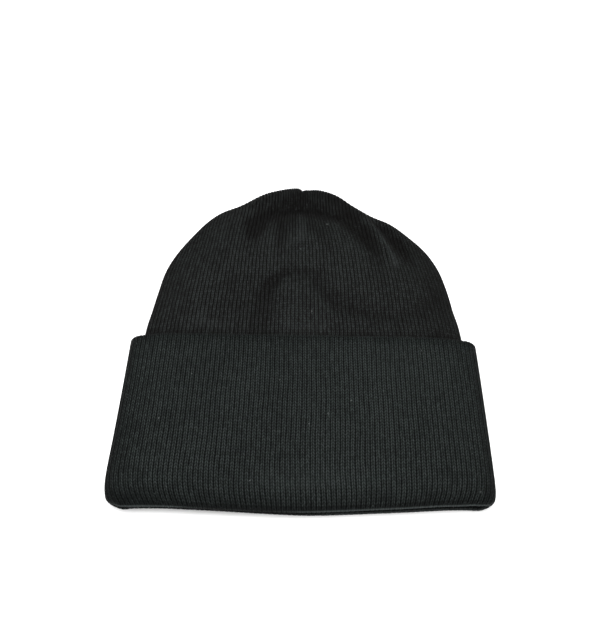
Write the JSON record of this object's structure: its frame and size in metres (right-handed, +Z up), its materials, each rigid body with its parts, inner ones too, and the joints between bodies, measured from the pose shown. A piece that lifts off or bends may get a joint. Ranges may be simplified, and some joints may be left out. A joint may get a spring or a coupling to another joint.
{
  "type": "knit hat",
  "caption": "Rib-knit cap with a deep turned-up cuff, lying flat on its back, open at the rim and closed by a seam over the top.",
  "frame": {"origin": "under the middle of the hat as it lies on its back, on the surface that it lies on", "axes": "+Z up out of the front of the hat, +Y from the rim to the top of the crown, +X to the right of somebody at the rim"},
  "size_m": [0.221, 0.2263, 0.0223],
  "materials": {
    "crown_knit": "matt rib knit, near-black",
    "cuff_knit": "matt rib knit, near-black"
  },
  "bodies": {
    "root": {"crown": "crown_knit", "cuff": "cuff_knit"}
  },
  "joints": []
}
